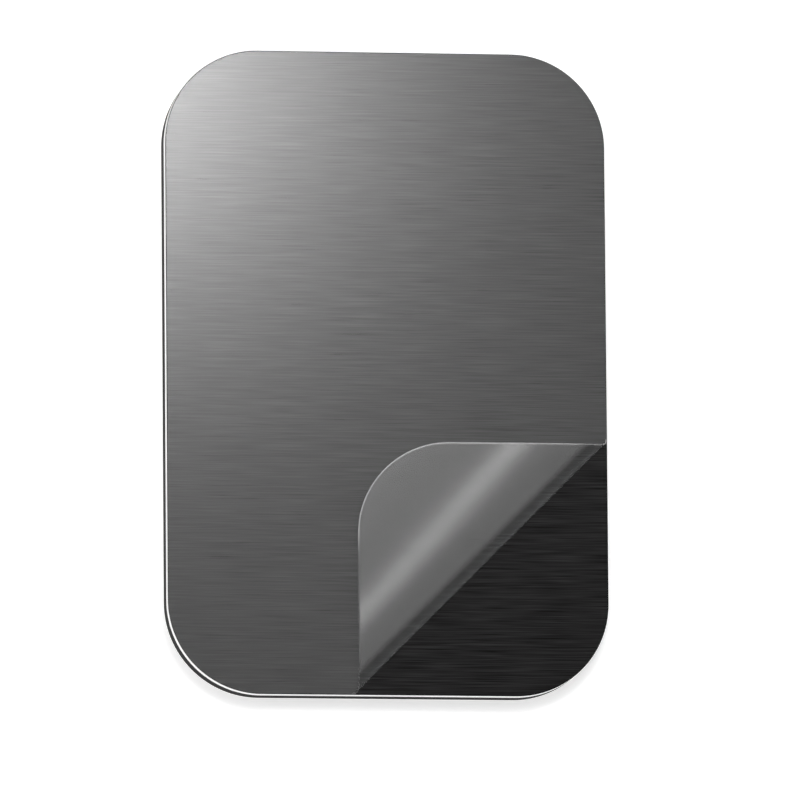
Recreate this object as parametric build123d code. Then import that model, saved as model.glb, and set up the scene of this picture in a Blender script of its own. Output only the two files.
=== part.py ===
from build123d import *
import os
from math import cos, exp, pi, radians, sin, sqrt

# Magnetic plate for a phone holder, as it comes new: it lies on its back with the face up.
# The origin is at the middle of the underside, +Y along the long side and +Z out of the face.

# Driving dimensions of the layers, in millimetres
plate_width = 44.5
plate_length = 65.0
corner_radius = 9.45
liner_thickness = 0.1
pad_thickness = 2.0
steel_thickness = 1.0
rollover_radius = 0.12
film_thickness = 0.1
film_setback = 0.1

# Driving dimensions of the peeled film corner, in millimetres and degrees
# peel_depth runs from the plate's square corner to the outer side of the fold, square to the fold.
# Past the sharp crease the film leaves at crease_exit_slope, climbs to a crest, comes down a little
# with descent_slope at most and ends in a level tail. The shares are of the run from the crease to
# the tail: how soon the climb fades, where the descent is steepest, and how wide it is.
peel_depth = 18.2
crease_radius = 0.25
crease_exit_slope = 28.0
climb_share = 0.148
descent_slope = 3.3
descent_share = 0.532
descent_width_share = 0.176
tail_length = 2.9

# Heights that follow from the stack
pad_bottom = liner_thickness
steel_bottom = pad_bottom + pad_thickness
face_height = steel_bottom + steel_thickness

# The film is cut just inside the steel's rolled edge
film_width = plate_width - 2 * film_setback
film_length = plate_length - 2 * film_setback
film_corner = corner_radius - film_setback

# The fold runs at 45 degrees across the corner at +X, -Y.
# "along" follows the fold, "across" points from the plate's middle to the peeled corner.
half_root = sqrt(0.5)
along = Vector(half_root, half_root, 0)
across = Vector(half_root, -half_root, 0)
up = Vector(0, 0, 1)
plate_corner_across = (plate_width + plate_length) / 2 * half_root
film_arc_across = (film_width + film_length) / 2 * half_root - film_corner * sqrt(2)
film_arc_along = (film_width - film_length) / 2 * half_root
film_tip = film_arc_across + film_corner

# Along the film's own length: it is flat up to bend_start, turns through crease_turn on the crease
# radius, climbs and comes down over the settling run, and is level, face down, from bend_end.
bend_start = plate_corner_across - peel_depth - crease_radius - film_thickness / 2
crease_turn = pi - radians(crease_exit_slope)
crease_end = bend_start + crease_radius * crease_turn
bend_end = film_tip - tail_length
settling_run = bend_end - crease_end

# How finely the two bent stretches are described
crease_stations = 16
settling_stations = 36
steps_per_station = 20


# The outlines that the layers are cut to

def plate_outline():
    """The rounded rectangle that the steel, the pad and the liner share."""
    return RectangleRounded(plate_width, plate_length, corner_radius)


def film_outline():
    """The film's own cut, before its corner is peeled."""
    return RectangleRounded(film_width, film_length, film_corner)


def layer(bottom, thickness):
    """A full layer of the stack."""
    return Pos(0, 0, bottom) * extrude(plate_outline(), thickness)


# The layers under the film

def steel_plate():
    """Blanked sheet steel, whose face edge is rolled over by the punch."""
    blank = layer(steel_bottom, steel_thickness)
    face_edges = blank.edges().group_by(Axis.Z)[-1]
    return fillet(face_edges, rollover_radius)


# The bent film: each station is the middle of the film's thickness, seen along the fold

def crease_section():
    """Stations round the crease: place across in the flat cut, place across, height, turn."""
    stations = []
    for step in range(crease_stations + 1):
        turn = crease_turn * step / crease_stations
        stations.append((
            bend_start + crease_radius * turn,
            bend_start + crease_radius * sin(turn),
            crease_radius * (1 - cos(turn)),
            turn,
        ))
    return stations


def slope_at(run):
    """The folded film's slope after a run of film past the crease: a climb, then a descent."""
    share = run / settling_run
    climb = crease_exit_slope * exp(-((share / climb_share) ** 1.5))
    descent = descent_slope * exp(-(((share - descent_share) / descent_width_share) ** 2))
    return radians(climb - descent)


def settling_section():
    """Stations from the crease over the crest to the level tail, found by adding up short steps."""
    flat_place, place, height, turn = crease_section()[-1]
    stations = [(flat_place, place, height, turn)]
    step_length = settling_run / (settling_stations * steps_per_station)
    for step in range(settling_stations * steps_per_station):
        slope = slope_at((step + 0.5) * step_length)
        flat_place += step_length
        place -= step_length * cos(slope)
        height += step_length * sin(slope)
        if (step + 1) % steps_per_station == 0:
            stations.append((flat_place, place, height, pi - slope_at((step + 1) * step_length)))
    return stations


def cut_ends(flat_place):
    """Where a line parallel to the fold meets the film's cut outline, at both ends of the line."""
    if flat_place > film_arc_across + film_corner * half_root:
        half_chord = sqrt(film_corner**2 - (flat_place - film_arc_across) ** 2)
        return film_arc_along - half_chord, film_arc_along + half_chord
    return flat_place - film_length * half_root, film_width * half_root - flat_place


def skin_points(stations, end, offset):
    """Points along one cut edge of one skin of the film; offset is from the middle of its thickness."""
    points = []
    for flat_place, place, height, turn in stations:
        reach = cut_ends(flat_place)[end]
        sideways = place - offset * sin(turn)
        rise = film_thickness / 2 + height + offset * cos(turn)
        points.append(along * reach + across * sideways + up * (face_height + rise))
    return points


def bent_stretch(stations):
    """A solid stretch of bent film: two skins ruled from cut edge to cut edge, closed all round."""
    half = film_thickness / 2
    corners = ((0, -half), (1, -half), (1, half), (0, half))
    points = [skin_points(stations, end, offset) for end, offset in corners]
    edges = [Edge.make_spline(row) for row in points]
    walls = [Face.make_surface_from_curves(edges[i], edges[(i + 1) % 4]) for i in range(4)]
    start = make_face(Polyline(*[row[0] for row in points], close=True))
    finish = make_face(Polyline(*[row[-1] for row in points], close=True))
    return Solid(Shell([*walls, start.face(), finish.face()]))


def beyond(flat_place):
    """A square that covers the outline past a line parallel to the fold."""
    side = 2 * (plate_width + plate_length)
    middle = across * (flat_place + side / 2)
    return Pos(middle.X, middle.Y) * Rot(0, 0, -45) * Rectangle(side, side)


def protective_film():
    """Clear film stuck to the face, with one corner peeled, folded back and lying over the rest."""
    stuck = Pos(0, 0, face_height) * extrude(film_outline() - beyond(bend_start), film_thickness)
    tail = Pos(0, 0, face_height) * extrude(film_outline() & beyond(bend_end), film_thickness)
    crease = crease_section()
    settling = settling_section()
    # A half turn about this axis lays the tail, face down, where the bend ends.
    _, landing, height, _ = settling[-1]
    middle_height = face_height + film_thickness / 2 + height / 2
    hinge = Axis(across * ((bend_end + landing) / 2) + up * middle_height, along)
    return stuck + bent_stretch(crease) + bent_stretch(settling) + tail.rotate(hinge, 180)


# Each layer goes to a file of its own

nodes = {
    "release_liner": layer(0, liner_thickness),
    "adhesive_pad": layer(pad_bottom, pad_thickness),
    "steel_plate": steel_plate(),
    "protective_film": protective_film(),
}

os.makedirs("parts", exist_ok=True)
for name, shape in nodes.items():
    export_step(shape, f"parts/{name}.step")
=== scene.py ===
from math import cos, exp, pi, radians, sin, sqrt

import bpy
from mathutils import Matrix, Vector


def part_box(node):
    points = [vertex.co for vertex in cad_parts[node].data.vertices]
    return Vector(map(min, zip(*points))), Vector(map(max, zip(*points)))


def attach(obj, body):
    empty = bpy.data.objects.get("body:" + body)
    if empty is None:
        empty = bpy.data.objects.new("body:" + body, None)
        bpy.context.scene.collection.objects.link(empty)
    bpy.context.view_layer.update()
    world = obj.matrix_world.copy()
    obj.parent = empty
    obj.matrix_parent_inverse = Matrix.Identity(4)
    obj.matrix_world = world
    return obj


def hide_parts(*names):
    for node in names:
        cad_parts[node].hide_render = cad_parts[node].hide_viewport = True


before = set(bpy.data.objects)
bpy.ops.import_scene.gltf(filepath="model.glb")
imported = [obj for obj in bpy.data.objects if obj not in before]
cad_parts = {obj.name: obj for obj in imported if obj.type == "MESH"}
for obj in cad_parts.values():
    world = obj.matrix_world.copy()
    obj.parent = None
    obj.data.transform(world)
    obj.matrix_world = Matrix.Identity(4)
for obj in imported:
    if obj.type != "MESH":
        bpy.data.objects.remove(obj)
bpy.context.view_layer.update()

MM = 0.001


# Steel plate
# Blanked from sheet steel in one stroke, so the edge of its face is rolled over and its cut wall
# is bare bright metal. The face is brushed across the width and blackened. The film and the tape
# are stuck to it.

corner_radius = 9.45 * MM
rollover_radius = 0.12 * MM
peel_depth = 18.2 * MM
half_root = sqrt(0.5)
along = Vector((half_root, half_root, 0))
across = Vector((half_root, -half_root, 0))
arc_segments = 32
steel_low, steel_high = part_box("steel_plate")
peel_line = (steel_high.x - steel_low.y) * half_root - peel_depth


def cut_sheet(name, low, high, corner):
    """A flat rounded rectangle at the underside of a box, as the die cuts it."""
    bpy.ops.object.select_all(action="DESELECT")
    bpy.ops.mesh.primitive_plane_add(size=1, location=(0, 0, low.z))
    blank = bpy.context.object
    blank.name = blank.data.name = name
    blank.scale = (high.x - low.x, high.y - low.y, 1)
    bpy.ops.object.transform_apply(location=True, rotation=True, scale=True)
    bpy.ops.object.mode_set(mode="EDIT")
    bpy.ops.mesh.bevel(offset=corner, segments=arc_segments, affect="VERTICES")
    bpy.ops.object.mode_set(mode="OBJECT")
    return blank


def raise_wall(blank, rises):
    """Thickens a cut sheet upwards, one extrusion for each rise, and turns its faces outwards."""
    bpy.ops.object.mode_set(mode="EDIT")
    bpy.ops.mesh.select_all(action="SELECT")
    for rise in rises:
        bpy.ops.mesh.extrude_region_move(TRANSFORM_OT_translate={"value": (0, 0, rise)})
    bpy.ops.mesh.select_all(action="SELECT")
    bpy.ops.mesh.normals_make_consistent(inside=False)
    bpy.ops.mesh.select_all(action="DESELECT")
    bpy.ops.object.mode_set(mode="OBJECT")


def round_top(blank, top, radius, segments):
    """Rounds the edge where a blank's wall meets its top."""
    for edge in blank.data.edges:
        ends = [blank.data.vertices[i] for i in edge.vertices]
        edge.select = all(abs(end.co.z - top) < 1e-7 for end in ends)
    bpy.ops.object.mode_set(mode="EDIT")
    bpy.ops.mesh.bevel(offset=radius, segments=segments, affect="EDGES")
    bpy.ops.object.mode_set(mode="OBJECT")


rollover_segments = 5

steel = cut_sheet("steel", steel_low, steel_high, corner_radius)
raise_wall(steel, [steel_high.z - steel_low.z])
round_top(steel, steel_high.z, rollover_radius, rollover_segments)


def new_material(name):
    """An empty node material and its Principled shader."""
    material = bpy.data.materials.new(name)
    material.use_nodes = True
    nodes, links = material.node_tree.nodes, material.node_tree.links
    return material, nodes, links, nodes["Principled BSDF"]


# Each layer of brush lines is (lines per metre across, per metre along, share). The layers start
# at different places, so that they don't line up.
brush_layers = ((5500, 80, 0.25), (10000, 150, 0.45), (16000, 260, 0.30))
brush_start = (0.013, 0.7)


def brush_line_group():
    """Long fine lines along X, as an abrasive belt leaves them: 0 to 1 about a mean of 0.5."""
    group = bpy.data.node_groups.new("brush_lines", "ShaderNodeTree")
    group.interface.new_socket("Vector", in_out="INPUT", socket_type="NodeSocketVector")
    group.interface.new_socket("Lines", in_out="OUTPUT", socket_type="NodeSocketFloat")
    nodes, links = group.nodes, group.links
    entry = nodes.new("NodeGroupInput")
    leave = nodes.new("NodeGroupOutput")
    total = None
    for across_rate, along_rate, share in brush_layers:
        start = (across_rate * brush_start[0], brush_start[1], 0)
        mapping = nodes.new("ShaderNodeMapping")
        mapping.inputs["Scale"].default_value = (along_rate, across_rate, 1)
        mapping.inputs["Location"].default_value = start
        links.new(entry.outputs["Vector"], mapping.inputs["Vector"])
        noise = nodes.new("ShaderNodeTexNoise")
        noise.inputs["Scale"].default_value = 1
        noise.inputs["Detail"].default_value = 1
        links.new(mapping.outputs["Vector"], noise.inputs["Vector"])
        weighed = nodes.new("ShaderNodeMath")
        weighed.operation = "MULTIPLY"
        weighed.inputs[1].default_value = share
        links.new(noise.outputs["Fac"], weighed.inputs[0])
        if total is None:
            total = weighed
            continue
        added = nodes.new("ShaderNodeMath")
        added.operation = "ADD"
        links.new(total.outputs[0], added.inputs[0])
        links.new(weighed.outputs[0], added.inputs[1])
        total = added
    links.new(total.outputs[0], leave.inputs["Lines"])
    return group


brush_lines = brush_line_group()


def add_brush_lines(nodes, links):
    """The brush lines on a piece's own object coordinates, as a value to link on."""
    place = nodes.new("ShaderNodeTexCoord")
    lines = nodes.new("ShaderNodeGroup")
    lines.node_tree = brush_lines
    links.new(place.outputs["Object"], lines.inputs["Vector"])
    return lines.outputs["Lines"]


def remap(nodes, links, value, low, high, from_low=0.35, from_high=0.65):
    """Stretches a value from one range to another."""
    node = nodes.new("ShaderNodeMapRange")
    node.clamp = True
    node.inputs["From Min"].default_value = from_low
    node.inputs["From Max"].default_value = from_high
    node.inputs["To Min"].default_value = low
    node.inputs["To Max"].default_value = high
    links.new(value, node.inputs["Value"])
    return node.outputs["Result"]


# The film lets go over this stretch, just before the line that it is peeled back to.
let_go_from = peel_line - 0.25 * MM
let_go_to = peel_line - 0.05 * MM


def under_film(nodes, links):
    """1 where the film still sticks to the face, and 0 where it is peeled off."""
    place = nodes.new("ShaderNodeTexCoord")
    out = nodes.new("ShaderNodeVectorMath")
    out.operation = "DOT_PRODUCT"
    out.inputs[1].default_value = across
    links.new(place.outputs["Object"], out.inputs[0])
    return remap(nodes, links, out.outputs["Value"], 1, 0, let_go_from, let_go_to)


def blend(nodes, links, share, first, second):
    """Goes from a first to a second value as a share goes from 0 to 1."""
    node = nodes.new("ShaderNodeMix")
    node.data_type = "FLOAT"
    links.new(share, node.inputs[0])
    links.new(first, node.inputs[2])
    links.new(second, node.inputs[3])
    return node.outputs[0]


# How bright the steel is, low and high, and the brush lines' values that these stand at. Under the
# film its adhesive fills the lines and scatters a little light.
dry_tones = (0.0036, 0.0245, 0.36, 0.72)
wet_tones = (0.0133, 0.0337, 0.332, 0.668)


def black_brushed_face():
    """Blackened brushed steel: dark and satin, with the brush lines in colour and relief. Where
    the film sticks, the two mirror as one, so the film is a clear coat here."""
    material, nodes, links, shader = new_material("black_brushed_face")
    lines = add_brush_lines(nodes, links)
    wetted = under_film(nodes, links)
    dry_tone = remap(nodes, links, lines, *dry_tones)
    wet_tone = remap(nodes, links, lines, *wet_tones)
    links.new(blend(nodes, links, wetted, dry_tone, wet_tone), shader.inputs["Base Color"])
    shader.inputs["Metallic"].default_value = 1
    links.new(remap(nodes, links, lines, 0.49, 0.41), shader.inputs["Roughness"])
    links.new(wetted, shader.inputs["Coat Weight"])
    shader.inputs["Coat Roughness"].default_value = 0.12
    shader.inputs["Coat IOR"].default_value = 1.47
    bump = nodes.new("ShaderNodeBump")
    bump.inputs["Strength"].default_value = 0.12
    bump.inputs["Distance"].default_value = 0.02 * MM
    links.new(lines, bump.inputs["Height"])
    links.new(bump.outputs["Normal"], shader.inputs["Normal"])
    return material


def bare_cut_steel():
    """The cut wall: bare bright steel with a fine grain."""
    material, nodes, links, shader = new_material("bare_cut_steel")
    place = nodes.new("ShaderNodeTexCoord")
    grain = nodes.new("ShaderNodeTexNoise")
    grain.inputs["Scale"].default_value = 9000
    grain.inputs["Detail"].default_value = 2
    links.new(place.outputs["Object"], grain.inputs["Vector"])
    ramp = nodes.new("ShaderNodeValToRGB")
    ramp.color_ramp.elements[0].position = 0.3
    ramp.color_ramp.elements[0].color = (0.80, 0.80, 0.79, 1)
    ramp.color_ramp.elements[1].position = 0.7
    ramp.color_ramp.elements[1].color = (0.95, 0.95, 0.95, 1)
    links.new(grain.outputs["Fac"], ramp.inputs["Fac"])
    links.new(ramp.outputs["Color"], shader.inputs["Base Color"])
    shader.inputs["Metallic"].default_value = 1
    links.new(remap(nodes, links, grain.outputs["Fac"], 0.55, 0.70), shader.inputs["Roughness"])
    return material


def paint_faces(piece, choose):
    """Gives each face the material slot that choose(face) names."""
    for face in piece.data.polygons:
        face.material_index = choose(face)


def shade_smooth(piece, angle):
    """Smooth shading, with the edges sharper than an angle kept crisp."""
    bpy.ops.object.select_all(action="DESELECT")
    piece.select_set(True)
    bpy.context.view_layer.objects.active = piece
    bpy.ops.object.shade_smooth_by_angle(angle=radians(angle))


def apply_modifier(piece, kind, **settings):
    """Adds one modifier with its settings and applies it."""
    bpy.ops.object.select_all(action="DESELECT")
    piece.select_set(True)
    bpy.context.view_layer.objects.active = piece
    modifier = piece.modifiers.new(kind.lower(), kind)
    for name, value in settings.items():
        setattr(modifier, name, value)
    bpy.ops.object.modifier_apply(modifier=modifier.name)


steel.data.materials.append(black_brushed_face())
steel.data.materials.append(bare_cut_steel())
# The wall, and the half of the rolled edge that faces more outwards than up, is bare.
paint_faces(steel, lambda face: 1 if abs(face.normal.z) < 0.7 else 0)
shade_smooth(steel, 40)
apply_modifier(steel, "WEIGHTED_NORMAL", keep_sharp=True)
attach(steel, "root")
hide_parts("steel_plate")


# Adhesive pad
# Black closed-cell foam tape, cut to the plate's outline in the same die and stuck to the back of
# the steel. Its soft wall draws in a little under the hard steel, and shows cut cells.

pad_low, pad_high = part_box("adhesive_pad")
pad_steps = 8
pad_drawn_in = 0.02 * MM

pad = cut_sheet("foam_pad", pad_low, pad_high, corner_radius)
raise_wall(pad, [(pad_high.z - pad_low.z) / pad_steps] * pad_steps)


def outward(point, low, high, corner):
    """The level direction away from a rounded rectangle's wall at a point of that wall."""
    middle = (low + high) / 2
    reach = (high - low) / 2 - Vector((corner, corner, 0))
    x = max(-reach.x, min(reach.x, point.x - middle.x))
    y = max(-reach.y, min(reach.y, point.y - middle.y))
    return Vector((point.x - middle.x - x, point.y - middle.y - y, 0)).normalized()


for vertex in pad.data.vertices:
    level = (vertex.co.z - pad_low.z) / (pad_high.z - pad_low.z)
    direction = outward(vertex.co, pad_low, pad_high, corner_radius)
    vertex.co -= direction * pad_drawn_in * sin(pi * level)


def black_foam():
    """Near-black foam with its cut cells in colour and relief."""
    material, nodes, links, shader = new_material("black_foam")
    place = nodes.new("ShaderNodeTexCoord")
    cells = nodes.new("ShaderNodeTexVoronoi")
    cells.inputs["Scale"].default_value = 9000
    links.new(place.outputs["Object"], cells.inputs["Vector"])
    ramp = nodes.new("ShaderNodeValToRGB")
    ramp.color_ramp.elements[0].position = 0.05
    ramp.color_ramp.elements[0].color = (0.004, 0.004, 0.004, 1)
    ramp.color_ramp.elements[1].position = 0.75
    ramp.color_ramp.elements[1].color = (0.022, 0.022, 0.022, 1)
    links.new(cells.outputs["Distance"], ramp.inputs["Fac"])
    links.new(ramp.outputs["Color"], shader.inputs["Base Color"])
    shader.inputs["Roughness"].default_value = 0.9
    shader.inputs["Specular IOR Level"].default_value = 0.25
    bump = nodes.new("ShaderNodeBump")
    bump.inputs["Strength"].default_value = 0.5
    bump.inputs["Distance"].default_value = 0.04 * MM
    links.new(cells.outputs["Distance"], bump.inputs["Height"])
    links.new(bump.outputs["Normal"], shader.inputs["Normal"])
    return material


pad.data.materials.append(black_foam())
shade_smooth(pad, 50)
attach(pad, "root")
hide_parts("adhesive_pad")


# Release liner
# Thin silicone-coated paper under the pad, cut with it. It keeps the adhesive clean until the plate
# is stuck to a phone, and the plate lies on it here.

liner_low, liner_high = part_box("release_liner")

liner = cut_sheet("paper_liner", liner_low, liner_high, corner_radius)
raise_wall(liner, [liner_high.z - liner_low.z])


def liner_paper():
    """Warm white coated paper with a faint cloudy sheen."""
    material, nodes, links, shader = new_material("liner_paper")
    place = nodes.new("ShaderNodeTexCoord")
    fibre = nodes.new("ShaderNodeTexNoise")
    fibre.inputs["Scale"].default_value = 1400
    fibre.inputs["Detail"].default_value = 6
    links.new(place.outputs["Object"], fibre.inputs["Vector"])
    ramp = nodes.new("ShaderNodeValToRGB")
    ramp.color_ramp.elements[0].position = 0.3
    ramp.color_ramp.elements[0].color = (0.74, 0.73, 0.69, 1)
    ramp.color_ramp.elements[1].position = 0.7
    ramp.color_ramp.elements[1].color = (0.84, 0.83, 0.79, 1)
    links.new(fibre.outputs["Fac"], ramp.inputs["Fac"])
    links.new(ramp.outputs["Color"], shader.inputs["Base Color"])
    links.new(remap(nodes, links, fibre.outputs["Fac"], 0.38, 0.5), shader.inputs["Roughness"])
    return material


liner.data.materials.append(liner_paper())
shade_smooth(liner, 40)
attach(liner, "root")
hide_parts("release_liner")


# Protective film
# Clear polyester film on the face, cut just inside the steel's rolled edge. Its corner at +X, -Y is
# peeled and folded back over the rest: a sharp crease, a low crest, and a level tail face down.

film_setback = 0.1 * MM
film_corner = corner_radius - film_setback
film_thickness = 0.07 * MM
film_middle = 0.05 * MM
rim_width = 0.13 * MM
crease_radius = 0.25 * MM
crease_exit_slope = radians(28)
climb_share = 0.148
# How steep the descent is and where it is steepest, level with the plate's middle, each with its
# change for a metre along the fold, and how wide the descent is.
descent_slope = radians(2.79125)
descent_slope_change = radians(19.25)
descent_share = 0.552
descent_share_change = 4.3
descent_width_share = 0.162
tail_length = 2.9 * MM
crease_cuts = 18
settling_cuts = 60
slope_steps = 240

film_low = Vector((steel_low.x + film_setback, steel_low.y + film_setback, 0))
film_high = Vector((steel_high.x - film_setback, steel_high.y - film_setback, 0))
film_low.z = film_high.z = steel_high.z + film_middle
film_tip = (film_high.x - film_low.y) * half_root - film_corner * (sqrt(2) - 1)
bend_start = peel_line - crease_radius - film_middle
crease_turn = pi - crease_exit_slope
crease_end = bend_start + crease_radius * crease_turn
bend_end = film_tip - tail_length
settling_run = bend_end - crease_end

film = cut_sheet("clear_film", film_low, film_high, film_corner)

# The cut rim is a narrow band of its own, and the bend gets one cut across the film for each step.
bpy.ops.object.mode_set(mode="EDIT")
bpy.ops.mesh.select_all(action="SELECT")
bpy.ops.mesh.inset(thickness=rim_width)
bpy.ops.object.mode_set(mode="OBJECT")
film.data.materials.append(None)
film.data.materials.append(None)
for face in film.data.polygons:
    face.material_index = 0 if face.select else 1
bpy.ops.object.mode_set(mode="EDIT")
bend_cuts = [bend_start + (crease_end - bend_start) * i / crease_cuts for i in range(crease_cuts)]
bend_cuts += [crease_end + settling_run * i / settling_cuts for i in range(settling_cuts + 1)]
for place in bend_cuts:
    bpy.ops.mesh.select_all(action="SELECT")
    bpy.ops.mesh.bisect(plane_co=across * place + Vector((0, 0, film_low.z)), plane_no=across)
bpy.ops.object.mode_set(mode="OBJECT")
for face in film.data.polygons:
    if face.center.dot(across) < bend_start:
        face.material_index = 0


def ease(share):
    """A smooth step from 0 to 1."""
    share = max(0.0, min(1.0, share))
    return share * share * (3 - 2 * share)


def film_slope(run, side):
    """The folded film's slope after a run past the crease: a climb, then a descent. Towards the
    left end of the fold the descent lies nearer and is steeper (side is the distance along it)."""
    share = run / settling_run
    climb = crease_exit_slope * exp(-((share / climb_share) ** 1.5))
    steepest = descent_share + descent_share_change * side
    descent = descent_slope - descent_slope_change * side
    return climb - descent * exp(-(((share - steepest) / descent_width_share) ** 2))


def bent_film(place, side):
    """Where the film's middle goes when the corner is folded: its place across, rise and turn."""
    if place <= bend_start:
        return place, 0.0, 0.0
    if place <= crease_end:
        turn = (place - bend_start) / crease_radius
        return bend_start + crease_radius * sin(turn), crease_radius * (1 - cos(turn)), turn
    run = min(place - crease_end, settling_run)
    length = run / slope_steps
    reached = bend_start + crease_radius * sin(crease_turn)
    rise = crease_radius * (1 - cos(crease_turn))
    for step in range(slope_steps):
        slope = film_slope((step + 0.5) * length, side)
        reached -= length * cos(slope)
        rise += length * sin(slope)
    return reached - max(0.0, place - bend_end), rise, pi - film_slope(run, side)


crease_body = 0.15
body_run = 0.6 * MM


def film_body(place):
    """How much the film shows: not where it sticks, as the steel's coat stands for it there,
    a little more and more through the sharp crease, and plainly past that."""
    if place <= crease_end:
        return crease_body * ease((place - bend_start) / (crease_end - bend_start))
    return crease_body + (1 - crease_body) * ease((place - crease_end) / body_run)


# The cut rim's painted glint: how little of it shows along the shorter side, and over what run it
# grows to full at the arc.
least_painted_rim_glint = 0.25
painted_rim_glint_run = 2 * MM
arc_begins = film_high.x - film_corner


def painted_rim_glint(x):
    """A painted glint on the free corner's cut rim, set by place and not by the lamps: full round
    the arc and along the top, and hardly along the shorter side.
    """
    return least_painted_rim_glint + (1 - least_painted_rim_glint) * ease((x - arc_begins) / painted_rim_glint_run + 1)


# Each point keeps how far it turned, for true normals, how much it shows, and how much of the cut
# rim's painted glint it carries. Then it goes to its place in the bend.
for mark in ("turn", "body", "painted_rim_glint"):
    film.data.attributes.new(mark, "FLOAT", "POINT")
film_marks = film.data.attributes
for vertex in film.data.vertices:
    place = vertex.co.dot(across)
    reached, rise, turn = bent_film(place, vertex.co.dot(along))
    film_marks["turn"].data[vertex.index].value = turn
    film_marks["body"].data[vertex.index].value = film_body(place)
    film_marks["painted_rim_glint"].data[vertex.index].value = painted_rim_glint(vertex.co.x)
    vertex.co += across * (reached - place) + Vector((0, 0, rise))


apply_modifier(film, "SOLIDIFY", thickness=film_thickness, offset=0.0, use_even_offset=True)


def multiply(nodes, links, first, second):
    """The product of two linked values, or of a linked value and a number."""
    node = nodes.new("ShaderNodeMath")
    node.operation = "MULTIPLY"
    links.new(first, node.inputs[0])
    if isinstance(second, (int, float)):
        node.inputs[1].default_value = second
    else:
        links.new(second, node.inputs[1])
    return node.outputs[0]


def point_mark(nodes, name):
    """A value that the piece keeps at its points."""
    node = nodes.new("ShaderNodeAttribute")
    node.attribute_name = name
    return node.outputs["Fac"]


def gloss_curve(nodes, links, points):
    """How much a skin mirrors as it turns away from the eye, as a curve through points."""
    weight = nodes.new("ShaderNodeLayerWeight")
    weight.inputs["Blend"].default_value = 0.5
    curve = nodes.new("ShaderNodeFloatCurve")
    path = curve.mapping.curves[0].points
    path[0].location = points[0]
    path[1].location = points[-1]
    for point in points[1:-1]:
        path.new(*point)
    curve.mapping.update()
    links.new(weight.outputs["Facing"], curve.inputs["Value"])
    return curve.outputs["Value"]


# How much a skin mirrors, from face on to edge on.
film_gloss = ((0.0, 0.10), (0.15, 0.11), (0.3, 0.15), (0.5, 0.26), (0.75, 0.6), (1.0, 1.0))


def clear_film():
    """Thin clear film: each skin mirrors a little of the room and lets the rest through."""
    material, nodes, links, shader = new_material("clear_film")
    shader.inputs["Base Color"].default_value = (0.4, 0.4, 0.4, 1)
    shader.inputs["Metallic"].default_value = 1
    shader.inputs["Roughness"].default_value = 0.12
    gloss = gloss_curve(nodes, links, film_gloss)
    links.new(multiply(nodes, links, gloss, point_mark(nodes, "body")), shader.inputs["Alpha"])
    return material


def cut_film_rim():
    """The free corner's cut rim: frosted by the die, so that it draws a fine light line, with a
    painted glint that makes it show less along the shorter side.
    """
    material, nodes, links, shader = new_material("cut_film_rim")
    shader.inputs["Base Color"].default_value = (0.95, 0.95, 0.95, 1)
    shader.inputs["Metallic"].default_value = 1
    place = nodes.new("ShaderNodeTexCoord")
    frost = nodes.new("ShaderNodeTexNoise")
    frost.inputs["Scale"].default_value = 6000
    links.new(place.outputs["Object"], frost.inputs["Vector"])
    links.new(remap(nodes, links, frost.outputs["Fac"], 0.4, 0.6), shader.inputs["Roughness"])
    frosted = remap(nodes, links, frost.outputs["Fac"], 0.11, 0.15)
    # The rim shows more where its painted glint is fuller: a painted highlight set by place.
    painted_glint_alpha = multiply(nodes, links, frosted, point_mark(nodes, "painted_rim_glint"))
    links.new(painted_glint_alpha, shader.inputs["Alpha"])
    return material


film.data.materials[0] = clear_film()
film.data.materials[1] = cut_film_rim()


def set_film_normals():
    """Gives both skins the bent film's own normals, so that its reflections run without facets."""
    mesh = film.data
    turn_of = [item.value for item in mesh.attributes["turn"].data]
    normals = []
    for face in mesh.polygons:
        face.use_smooth = True
        for index in face.vertices:
            turn = turn_of[index]
            skin = across * -sin(turn) + Vector((0, 0, cos(turn)))
            side = face.normal.dot(skin)
            if abs(side) < 0.7:
                skin = face.normal.copy()
            elif side < 0:
                skin = -skin
            normals.append(skin)
    mesh.normals_split_custom_set(normals)


set_film_normals()
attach(film, "root")
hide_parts("protective_film")


# Table
# The plain white surface that the plate lies on, which keeps the plate's soft shadow. It is cut
# out under the plate and clear from below, so that the underside can be looked at too.

table_lift = 0.35
table_inset = Vector((0.05 * MM, 0.05 * MM, 0))
table_drop = Vector((0, 0, 0.01 * MM))
table_spread = 140


def white_table():
    """Matt white, lifted to full white for what looks at it or mirrors it. Clear from below."""
    material, nodes, links, shader = new_material("white_table")
    shader.inputs["Base Color"].default_value = (0.92, 0.92, 0.92, 1)
    shader.inputs["Roughness"].default_value = 0.9
    shader.inputs["Specular IOR Level"].default_value = 0.1
    light_path = nodes.new("ShaderNodeLightPath")
    seen = nodes.new("ShaderNodeMath")
    seen.operation = "MAXIMUM"
    links.new(light_path.outputs["Is Camera Ray"], seen.inputs[0])
    links.new(light_path.outputs["Is Glossy Ray"], seen.inputs[1])
    seen_through = nodes.new("ShaderNodeMath")
    seen_through.operation = "MAXIMUM"
    links.new(seen.outputs[0], seen_through.inputs[0])
    links.new(light_path.outputs["Is Transmission Ray"], seen_through.inputs[1])
    shader.inputs["Emission Color"].default_value = (1, 1, 1, 1)
    lift = multiply(nodes, links, seen_through.outputs[0], table_lift)
    links.new(lift, shader.inputs["Emission Strength"])
    side = nodes.new("ShaderNodeNewGeometry")
    clear = nodes.new("ShaderNodeBsdfTransparent")
    one_sided = nodes.new("ShaderNodeMixShader")
    links.new(side.outputs["Backfacing"], one_sided.inputs["Fac"])
    links.new(shader.outputs[0], one_sided.inputs[1])
    links.new(clear.outputs[0], one_sided.inputs[2])
    links.new(one_sided.outputs[0], nodes["Material Output"].inputs["Surface"])
    return material


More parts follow.
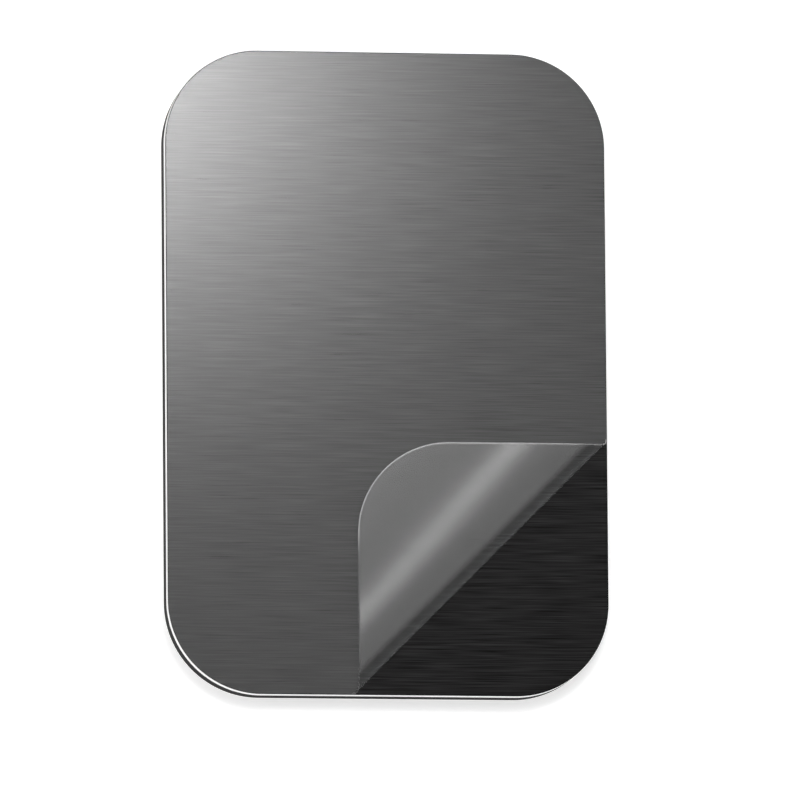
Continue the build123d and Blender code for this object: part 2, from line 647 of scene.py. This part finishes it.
hole_low = liner_low + table_inset - table_drop
hole_high = liner_high - table_inset
table = cut_sheet("table", hole_low, hole_high, corner_radius - table_inset.x)
bpy.ops.object.mode_set(mode="EDIT")
bpy.ops.mesh.select_all(action="SELECT")
bpy.ops.mesh.delete(type="ONLY_FACE")
bpy.ops.mesh.select_all(action="SELECT")
bpy.ops.mesh.extrude_edges_move()
bpy.ops.transform.resize(value=(table_spread, table_spread, 1))
bpy.ops.object.mode_set(mode="OBJECT")
if table.data.polygons[0].normal.z < 0:
    table.data.flip_normals()
table.data.materials.append(white_table())


# Light
# A white room, a small soft lamp that glares on the film past its far left corner, and a graded
# panel that leans over from the right, white above and black below, for the fold's dark side.

world = bpy.data.worlds.new("white_room")
world.use_nodes = True
bpy.context.scene.world = world
world.node_tree.nodes["Background"].inputs["Color"].default_value = (1, 1, 1, 1)
world.node_tree.nodes["Background"].inputs["Strength"].default_value = 1.0

# The camera looks down from this direction, and a flat face mirrors the other one.
view_lean = 0.14
view_from = Vector((-view_lean, -view_lean, sqrt(1 - 2 * view_lean**2)))
mirrored = Vector((view_lean, view_lean, view_from.z))

glare_height = 290 * MM
glare_reach = 30.5 * MM
glare_peak = 25.0
glare_fade = 1.7
glare_size = 7 * glare_reach
glare_seen_at = Vector((-35.3 * MM, 38.0 * MM, steel_high.z))
eye_distance = 1572 * MM
glare_place = glare_seen_at * (1 + glare_height / eye_distance)
glare_place += mirrored * (glare_height / mirrored.z)
glare_place.z = steel_high.z + glare_height


def soft_glow():
    """A lamp face that is brightest in its middle and fades out all round to nothing."""
    material, nodes, links, shader = new_material("soft_glow")
    nodes.remove(shader)
    place = nodes.new("ShaderNodeTexCoord")
    reach = nodes.new("ShaderNodeVectorMath")
    reach.operation = "LENGTH"
    links.new(place.outputs["Object"], reach.inputs[0])
    power = nodes.new("ShaderNodeMath")
    power.operation = "POWER"
    links.new(multiply(nodes, links, reach.outputs["Value"], 1 / glare_reach), power.inputs[0])
    power.inputs[1].default_value = glare_fade
    fade = nodes.new("ShaderNodeMath")
    fade.operation = "EXPONENT"
    links.new(multiply(nodes, links, power.outputs[0], -1.0), fade.inputs[0])
    glow = nodes.new("ShaderNodeEmission")
    links.new(multiply(nodes, links, fade.outputs[0], glare_peak), glow.inputs["Strength"])
    clear = nodes.new("ShaderNodeBsdfTransparent")
    both = nodes.new("ShaderNodeAddShader")
    links.new(glow.outputs[0], both.inputs[0])
    links.new(clear.outputs[0], both.inputs[1])
    links.new(both.outputs[0], nodes["Material Output"].inputs["Surface"])
    return material


bpy.ops.object.select_all(action="DESELECT")
bpy.ops.mesh.primitive_plane_add(size=glare_size, location=glare_place)
glare = bpy.context.object
glare.name = "glare_lamp"
glare.data.materials.append(soft_glow())
glare.visible_camera = False

# The panel's lower and upper edge: X is how far out past the peeled corner, and Z how high.
panel_foot = Vector((288 * MM, 0, 150 * MM))
panel_head = Vector((61 * MM, 0, 700 * MM))
panel_width = 560 * MM
panel_black_below = 296 * MM
panel_white_above = 430 * MM


def graded_panel():
    """A lit panel, white at the head and black at the foot."""
    material, nodes, links, shader = new_material("graded_panel")
    nodes.remove(shader)
    place = nodes.new("ShaderNodeTexCoord")
    height = nodes.new("ShaderNodeSeparateXYZ")
    links.new(place.outputs["Object"], height.inputs[0])
    glow = nodes.new("ShaderNodeEmission")
    reached = height.outputs["Z"]
    light = remap(nodes, links, reached, 0.0, 1.0, panel_black_below, panel_white_above)
    links.new(light, glow.inputs["Strength"])
    links.new(glow.outputs[0], nodes["Material Output"].inputs["Surface"])
    return material


panel_mesh = bpy.data.meshes.new("graded_panel")
foot_line = across * panel_foot.x + Vector((0, 0, panel_foot.z))
head_line = across * panel_head.x + Vector((0, 0, panel_head.z))
half_width = along * panel_width / 2
corners = [foot_line - half_width, foot_line + half_width]
corners += [head_line + half_width, head_line - half_width]
panel_mesh.from_pydata(corners, [], [(0, 1, 2, 3)])
panel_mesh.materials.append(graded_panel())
panel = bpy.data.objects.new("graded_panel", panel_mesh)
bpy.context.scene.collection.objects.link(panel)
panel.visible_camera = False


# Camera
# A long lens looks down at the face from slightly below and to the left, so the left and lower
# walls just show. Its roll shares the slant of that view between the long and short sides.

frame_pixels = 800
face_pixels = 440.4
face_middle = (386.9, 372.9)
lens = 700
sensor_width = 36
roll = radians(44.88)
pixel = (steel_high.x - steel_low.x) * sqrt(1 - view_lean**2) / face_pixels
distance = pixel * frame_pixels * lens / sensor_width
rising = across.cross(view_from)
rising = -rising if rising.dot(along) < 0 else rising
rising.normalize()
image_right = rising * cos(roll) + across * sin(roll)
image_up = rising * sin(roll) - across * cos(roll)
aim = Vector((0, 0, steel_high.z))
aim += image_right * (frame_pixels / 2 - face_middle[0]) * pixel
aim += image_up * (face_middle[1] - frame_pixels / 2) * pixel
camera_data = bpy.data.cameras.new("camera")
camera_data.lens = lens
camera_data.clip_start = 0.05
camera_data.clip_end = 10
camera = bpy.data.objects.new("camera", camera_data)
bpy.context.scene.collection.objects.link(camera)
turned = Matrix((image_right, image_up, view_from)).transposed().to_4x4()
camera.matrix_world = Matrix.Translation(aim + view_from * distance) @ turned
bpy.context.scene.camera = camera

bpy.context.scene.view_settings.view_transform = "Standard"
